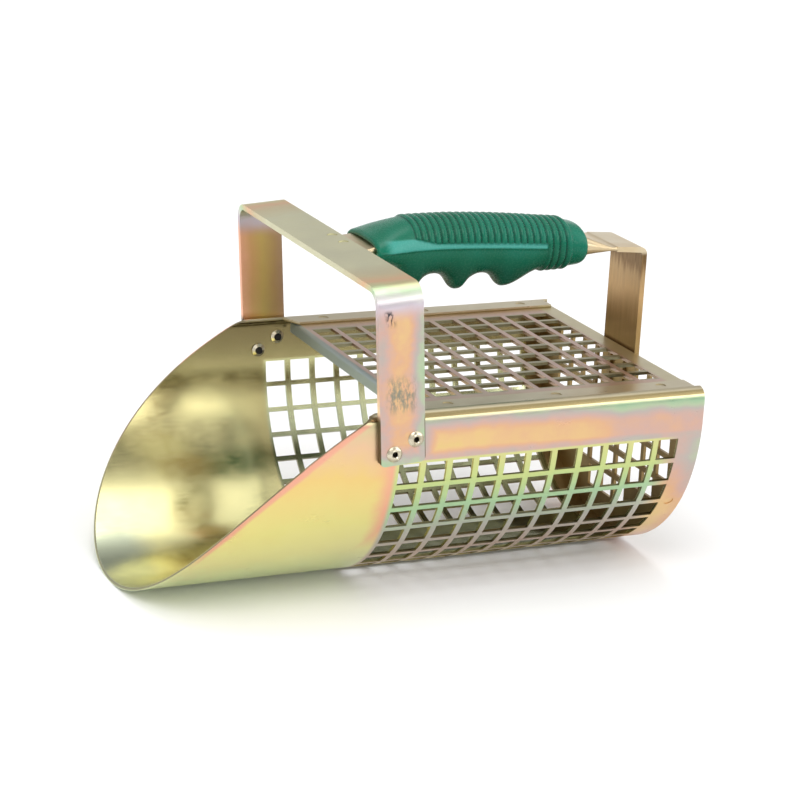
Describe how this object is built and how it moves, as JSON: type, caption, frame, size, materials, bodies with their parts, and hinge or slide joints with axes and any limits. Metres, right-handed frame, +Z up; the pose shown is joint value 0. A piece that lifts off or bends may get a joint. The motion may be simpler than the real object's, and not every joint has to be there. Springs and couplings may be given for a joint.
{
  "type": "beach sand scoop",
  "caption": "Hand scoop for beach metal detecting: a perforated half-round sheet-steel basket with a top screen, a riveted front strap and a bowed handle with a vinyl grip.",
  "frame": {"origin": "on the ground, at the middle of the overall length and of the width", "axes": "+X towards the back of the scoop, -X out of the mouth, +Y across, +Z up"},
  "size_m": [0.27, 0.1796, 0.1701],
  "materials": {
    "chromate_steel": "yellow chromate, satin",
    "green_vinyl": "semi-gloss",
    "rivet_aluminium": "satin",
    "mandrel_steel": "dull"
  },
  "bodies": {
    "root": {"basket_shell": "chromate_steel", "top_screen": "chromate_steel", "back_screen": "chromate_steel", "front_strap": "chromate_steel", "handle_tube": "chromate_steel", "grip": "green_vinyl", "strap_rivets": "rivet_aluminium", "rivet_mandrels": "mandrel_steel"}
  },
  "joints": []
}
